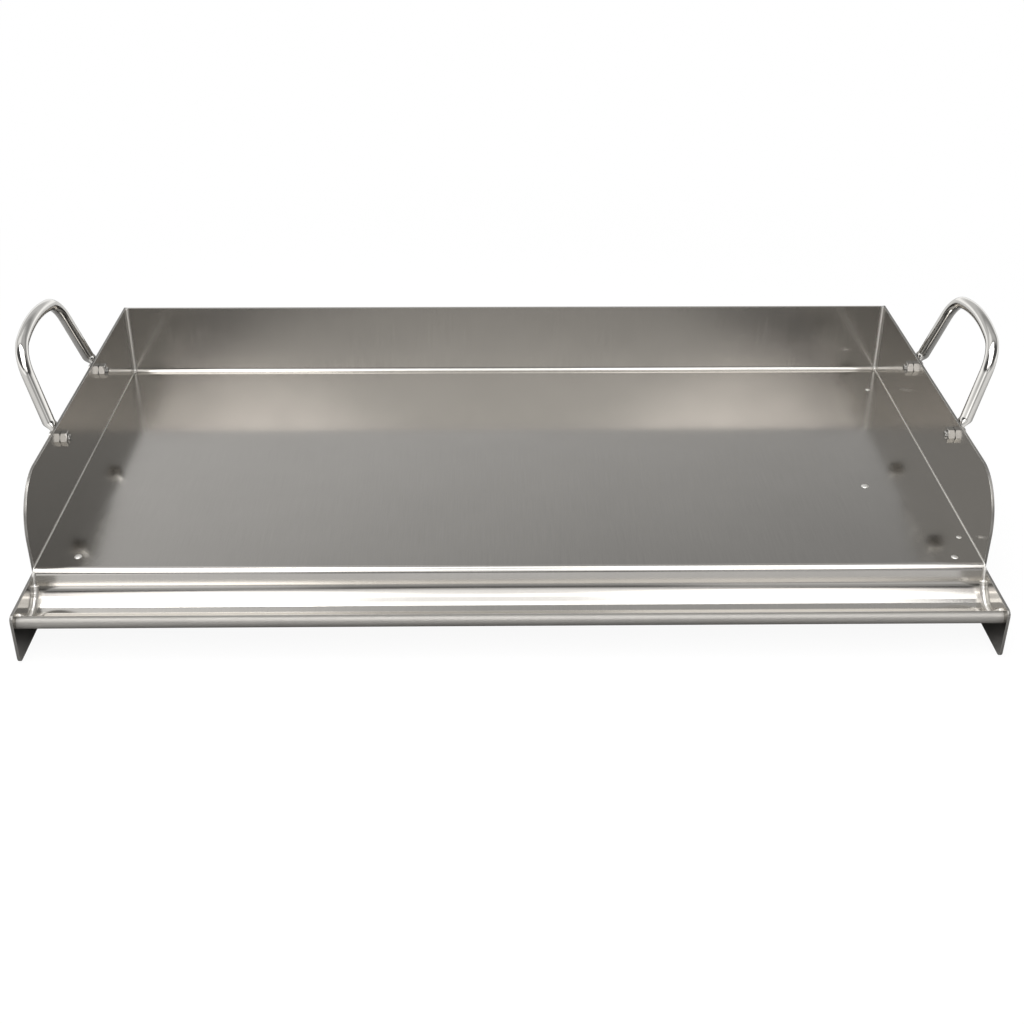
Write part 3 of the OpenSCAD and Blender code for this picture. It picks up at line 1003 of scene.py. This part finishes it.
def area_lamp(name, place, way, width, height, brightness, shape="RECTANGLE"):
    """Softbox of the given brightness that faces one way, unseen by the camera."""
    lamp = bpy.data.lights.new(name, "AREA")
    lamp.shape, lamp.size, lamp.size_y = shape, width, height
    lamp.energy = brightness * math.pi * width * height
    obj = add(name, lamp)
    obj.location = place
    obj.rotation_euler = way.to_track_quat("-Z", "Y").to_euler()
    obj.visible_camera = False
    return obj


def mixed(tree, factor, first, second):
    """Node that mixes the shaders of two nodes."""
    return node(tree, "ShaderNodeMixShader", (factor, first.outputs[0], second.outputs[0]))


def studio_world(st):
    """White to the camera; for light and reflections grey behind, dim in front and white low down."""
    world = bpy.data.worlds.new("studio")
    bpy.context.scene.world = world
    world.use_nodes = True
    tree = world.node_tree
    tree.nodes.clear()
    way = node(tree, "ShaderNodeTexCoord").outputs["Generated"]
    x, y, z = node(tree, "ShaderNodeSeparateXYZ", (way,)).outputs
    wide = maths(tree, "ABSOLUTE", x)
    front = ranged(tree, wide, 0.1, 0.3, st.front_middle, st.front_level, "SMOOTHSTEP")
    back = maths(tree, "SUBTRACT", st.back_level, maths(tree, "MULTIPLY", x, st.side_fall))
    above = maths(tree, "SUBTRACT", z, st.back_height)
    back = maths(tree, "SUBTRACT", back, maths(tree, "MULTIPLY", above, st.height_fall))
    darkest, brightest, left_gain = 0.4, 0.78, 0.6
    back = maths(tree, "MINIMUM", maths(tree, "MAXIMUM", back, darkest), brightest)
    top = ranged(tree, x, 0.0, -0.25, st.back_top, st.back_top + left_gain)
    back = ranged(tree, z, 0.58, 0.74, back, top, "SMOOTHSTEP")
    upper = ranged(tree, y, -0.1, 0.3, front, back, "SMOOTHSTEP")
    left, behind = ranged(tree, x, -0.12, -0.35), ranged(tree, y, -0.55, -0.2)
    beside = maths(tree, "MAXIMUM", left, behind)
    low = ranged(tree, beside, 0, 1, st.front_horizon, st.low_level, "SMOOTHSTEP")
    level = ranged(tree, z, 0.12, 0.3, low, upper, "SMOOTHSTEP")
    room = node(tree, "ShaderNodeBackground", {"Color": (1, 1, 1, 1), "Strength": level})
    white = node(tree, "ShaderNodeBackground", {"Color": (1, 1, 1, 1)})
    pick = mixed(tree, node(tree, "ShaderNodeLightPath").outputs["Is Camera Ray"], room, white)
    node(tree, "ShaderNodeOutputWorld", {"Surface": pick.outputs[0]})


def pale_ground(st):
    """White ground that keeps a faint shadow near the griddle and has no horizon; to metal it shows a
    painted shadow, darker close to the griddle.
    """
    made = bpy.data.materials.new("pale_ground")
    made.use_nodes = True
    tree = made.node_tree
    tree.nodes.clear()
    path = node(tree, "ShaderNodeLightPath").outputs
    seen = maths(tree, "MAXIMUM", path["Is Glossy Ray"], path["Is Transmission Ray"])
    place = node(tree, "ShaderNodeTexCoord").outputs["Object"]
    footprint = stretched(tree, place, 1 / CAD_HIGH.x, 1 / CAD_HIGH.y, 0.0)
    distance, beside = (
        node(tree, "ShaderNodeVectorMath", (spot,), operation="LENGTH").outputs["Value"]
        for spot in (place, footprint)
    )
    far = ranged(tree, distance, 0.45, 0.9, 0, 1, "SMOOTHSTEP")
    # Painted shadow: the floor's colour, as metal mirrors it, darkens close to the griddle
    shade = ranged(tree, beside, 1.0, 2.4, st.floor_painted_shadow, st.floor_far, "SMOOTHSTEP")
    rest = 1 - st.floor_glow
    pale = node(tree, "ShaderNodeBsdfDiffuse", {"Color": shade})
    catch = node(tree, "ShaderNodeBsdfDiffuse", {"Color": (rest, rest, rest, 1)})
    glow = node(tree, "ShaderNodeEmission", {"Strength": st.floor_glow})
    white = node(tree, "ShaderNodeEmission", {"Strength": 1.0})
    near = node(tree, "ShaderNodeAddShader", (glow.outputs[0], catch.outputs[0]))
    shown = mixed(tree, far, near, white)
    reflected = mixed(tree, maths(tree, "MULTIPLY", far, seen), pale, white)
    pick = mixed(tree, path["Is Camera Ray"], reflected, shown)
    node(tree, "ShaderNodeOutputMaterial", {"Surface": pick.outputs[0]})
    return made


# Operators


class GRIDDLE_OT_cooking_sheet(bpy.types.Operator):
    """Folds the cooking sheet with its trough and rolled lip"""

    bl_idname = "griddle.cooking_sheet"
    bl_label = "Cooking sheet"

    def execute(self, context):
        g = context.scene.griddle
        mesh = flatten_normals(mesh_of(folded_sheet(g.sheet), "sheet", 40), "sheet")
        lip_start = fold_marks(g.sheet)[1][4]
        look = g.finish
        # The lip gets painted shade, a darker colour, besides the roughness of rolling
        steel = brushed_steel(
            "brushed_sheet", look.sheet_colour, look.sheet_roughness, look.brushing,
            dull_and_shaded=(lip_start, look.lip_painted_shade, look.lip_roughness),
        )
        piece("folded_sheet", mesh, steel, "griddle", "brushed_sheet", "cooking_sheet")
        return {"FINISHED"}


class GRIDDLE_OT_side_panels(bpy.types.Operator):
    """Cuts the two side panels"""

    bl_idname = "griddle.side_panels"
    bl_label = "Side panels"

    def execute(self, context):
        g = context.scene.griddle
        look = g.finish
        # The cut edges get painted shade, a darker colour, besides added roughness
        steel = brushed_steel(
            "brushed_panel", look.panel_colour, look.panel_roughness, look.brushing,
            cut=(look.cut_painted_shade, look.cut_roughness),
        )
        for name, side in SIDES.items():
            mesh = mesh_of(side_panel(g.sheet, g.fasteners.hole, side), "panel", 40)
            mesh = flatten_normals(mesh, "panel")
            piece(f"{name}_panel", mesh, steel, "griddle", "brushed_sheet", f"{name}_side_panel")
        return {"FINISHED"}


class GRIDDLE_OT_handles(bpy.types.Operator):
    """Bends the two handles and flattens their feet"""

    bl_idname = "griddle.handles"
    bl_label = "Handles"

    def execute(self, context):
        g = context.scene.griddle
        rod = bright_metal("polished_rod", g.finish.rod_colour, g.finish.rod_roughness, 0.05, 900.0, 0.002)
        for name, side in SIDES.items():
            mesh = loop_handle(g.handle, g.fasteners, side)
            piece(f"{name}_loop", mesh, rod, "griddle", "polished_rod", f"{name}_handle")
        return {"FINISHED"}


class GRIDDLE_OT_fasteners(bpy.types.Operator):
    """Turns the bolts with their threads and the nuts"""

    bl_idname = "griddle.fasteners"
    bl_label = "Bolts and nuts"

    def execute(self, context):
        g = context.scene.griddle
        bright = bright_metal("bright_fastener", g.finish.fastener_colour, 0.1, 0.06, 1500.0, 0.01)
        grip = g.handle.foot_thickness + g.sheet.sheet
        head_x = OUTER_X + g.handle.foot_thickness
        quarter = math.pi / 2
        places = []
        for side in SIDES.values():
            for y in BOLT_YS:
                places.append((Vector((side * head_x, y, BOLT_Z)), (0, side * quarter, 0)))
        mesh = placed("bolts", bolt_mesh(g.fasteners, grip), places, bright)
        nodes = [f"{name}_{row}_bolt" for name in SIDES for row in ROWS]
        piece("handle_bolts", mesh, bright, "griddle", "fastener", *nodes)
        for name, side in SIDES.items():
            for row, i in ROWS.items():
                seat = (Vector((side * INNER_X, BOLT_YS[i], BOLT_Z)), (0, -side * quarter, 0))
                mesh = placed("nut", nut_mesh(g.fasteners), [seat], bright)
                body = f"{name}_{row}_nut"
                piece(f"{body}_hex", mesh, bright, body, "fastener", body)
        return {"FINISHED"}


class GRIDDLE_OT_brace(bpy.types.Operator):
    """Dresses the brace bars and tacks them under the plate"""

    bl_idname = "griddle.brace"
    bl_label = "Cross brace"

    def execute(self, context):
        g = context.scene.griddle
        steel = brushed_steel("brace_steel", g.finish.brace_colour, 0.3, 0, uv=False)
        weld = bpy.data.materials["weld_metal"]
        low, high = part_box("brace_bar_lower")
        middle = (low + high) / 2
        reach = (high - low) / 2
        below, off_middle = 0.0006, 0.0018
        centre = Vector((middle.x, middle.y, high.z - below))
        places = []
        for name, slant in (("brace_bar_lower", 1), ("brace_bar_upper", -1)):
            dress(name, steel)
            way = Vector((reach.x, slant * reach.y, 0))
            beside = Vector((-way.y, way.x, 0)).normalized() * off_middle
            turn = math.atan2(way.y, way.x)
            for share_along in (-0.97, -0.62, -0.28, 0.28, 0.62, 0.97):
                for flank in (-1, 1):
                    places.append((centre + way * share_along + beside * flank, (0, 0, turn)))
        tack = blob("tack", g.welds.tack, (1.5, 0.8, 0.7))
        mesh = placed("tacks", tack, places, weld, 0.2, g.welds.seed)
        piece("brace_tacks", mesh, weld, "griddle", "brace_bar")
        return {"FINISHED"}


class GRIDDLE_OT_welds(bpy.types.Operator):
    """Runs the weld seams along the sheet's ends and leaves the tack marks on the plate"""

    bl_idname = "griddle.welds"
    bl_label = "Weld seams"

    def execute(self, context):
        g = context.scene.griddle
        w, s = g.welds, g.sheet
        weld = bright_metal("weld_metal", g.finish.weld_colour, 0.42, 0.12, 1800.0, 0.12)
        stops = fold_line(s)
        starts, bends = fold_marks(s)
        plate_start, rear_wall_start, front_wall_start = starts[1], starts[2], starts[4]
        gutter_start, lip_start = bends[2], bends[4]
        overlap, sunk = 0.002, 0.35
        stretches = [
            (0, w.corner_bead),
            (plate_start, w.side_bead),
            (rear_wall_start - overlap, w.wall_bead),
            (gutter_start, w.trough_bead),
            (front_wall_start, w.wall_bead),
        ]
        lines = []
        for side in SIDES.values():
            line = []
            for place, heading, walked in stops:
                if walked > lip_start:
                    break
                bead = [radius for start, radius in stretches if walked >= start][-1]
                spot = place - left_of(heading) * bead * sunk
                line.append((Vector((side * (INNER_X - bead * sunk), spot.x, spot.y)), bead))
            lines.append(line)
        tree = tree_named("weld_bead", bead_tree)
        mesh = grown(
            "seams", line_mesh(lines), tree, step=w.bead_step, ripple=w.ripple,
            ripple_length=w.ripple_length, seed=w.seed, material=weld,
        )
        piece("weld_seams", mesh, weld, "griddle", "brushed_sheet")
        spots = [
            (-0.2897, -0.1163), (0.2977, -0.1225), (0.3080, -0.0967), (0.2999, 0.1396), (0.2599, -0.0243),
        ]
        places = [(Vector((x, y, s.plate_height)), (0, 0, 0.7 * i)) for i, (x, y) in enumerate(spots)]
        mark = blob("mark", w.mark, (1.0, 1.1, 0.25))
        marks = placed("marks", mark, places, weld, 0.25, w.seed)
        piece("tack_marks", marks, weld, "griddle", "brushed_sheet")
        return {"FINISHED"}


class GRIDDLE_OT_stage(bpy.types.Operator):
    """Sets the pale ground, the studio light and the camera"""

    bl_idname = "griddle.stage"
    bl_label = "Stage"

    def execute(self, context):
        st = context.scene.griddle.stage
        scene = context.scene
        scene.view_settings.view_transform = "Standard"
        studio_world(st)
        ground = bmesh.new()
        bmesh.ops.create_circle(ground, cap_ends=True, radius=8.0, segments=96)
        mesh = bpy.data.meshes.new("ground")
        ground.to_mesh(mesh)
        ground.free()
        mesh.materials.append(pale_ground(st))
        floor = add("ground", mesh)
        floor.location.z = -0.0002
        area_lamp("overhead", (-0.1, -0.17, 1.6), DOWN, 1.8, 0.52, st.overhead)
        area_lamp("overhead_left", (-0.66, -0.17, 1.61), DOWN, 0.68, 0.52, st.overhead_left)
        area_lamp("bridge", (-0.03, -1.01, 1.6), DOWN, 0.5, 1.16, st.bridge)
        area_lamp("middle_box", (0, -1.6, 1.5), FORWARD, 1.9, 1.8, st.middle_box, "ELLIPSE")
        area_lamp("upper_box", (0, -1.59, 1.5), FORWARD, 1.7, 1.4, st.upper_box, "ELLIPSE")
        for name, side in SIDES.items():
            wing_x, box_x = side * 0.62 - 0.03, side * 0.58
            area_lamp(f"{name}_wing", (wing_x, -1.01, 1.6), DOWN, 0.74, 1.16, st.wings)
            place = (box_x, -1.58, 1.5)
            box = area_lamp(f"{name}_box", place, FORWARD, 0.8, 1.36, st.side_boxes, "ELLIPSE")
            box.data.color = st.box_tint
            area_lamp(f"{name}_low_box", (box_x, -1.57, 0.43), FORWARD, 0.5, 0.46, st.low_boxes)
        lens = bpy.data.cameras.new("camera")
        lens.lens, lens.sensor_width = st.lens, 36.0
        camera = add("camera", lens)
        turn = (
            Matrix.Rotation(-st.yaw, 4, "Z")
            @ Matrix.Rotation(math.pi / 2 - st.pitch, 4, "X")
            @ Matrix.Rotation(st.roll, 4, "Z")
        )
        camera.matrix_world = Matrix.Translation(Vector(st.camera_place)) @ turn
        scene.camera = camera
        return {"FINISHED"}


class GRIDDLE_PT_panel(bpy.types.Panel):
    """Lists the griddle's steps"""

    bl_idname = "GRIDDLE_PT_panel"
    bl_label = "Griddle"
    bl_space_type = "VIEW_3D"
    bl_region_type = "UI"
    bl_category = "Griddle"

    def draw(self, context):
        for step in STEPS:
            self.layout.operator(step.bl_idname)
        for group in GriddleSettings.__annotations__:
            values = getattr(context.scene.griddle, group)
            box = self.layout.box()
            box.label(text=group.title())
            for key in values.__annotations__:
                box.prop(values, key)


GROUPS = (
    GriddleSheet, GriddleHandle, GriddleFasteners, GriddleWelds, GriddleFinish, GriddleStage,
    GriddleSettings,
)
STEPS = (
    GRIDDLE_OT_cooking_sheet, GRIDDLE_OT_side_panels, GRIDDLE_OT_handles, GRIDDLE_OT_fasteners,
    GRIDDLE_OT_welds, GRIDDLE_OT_brace, GRIDDLE_OT_stage,
)
CLASSES = GROUPS + STEPS + (GRIDDLE_PT_panel,)


def register():
    for cls in CLASSES:
        bpy.utils.register_class(cls)
    bpy.types.Scene.griddle = PointerProperty(type=GriddleSettings)


def unregister():
    del bpy.types.Scene.griddle
    for cls in reversed(CLASSES):
        bpy.utils.unregister_class(cls)


def main():
    register()
    bpy.ops.griddle.cooking_sheet()
    bpy.ops.griddle.side_panels()
    bpy.ops.griddle.handles()
    bpy.ops.griddle.fasteners()
    bpy.ops.griddle.welds()
    bpy.ops.griddle.brace()
    bpy.ops.griddle.stage()


if __name__ == "__main__":
    main()
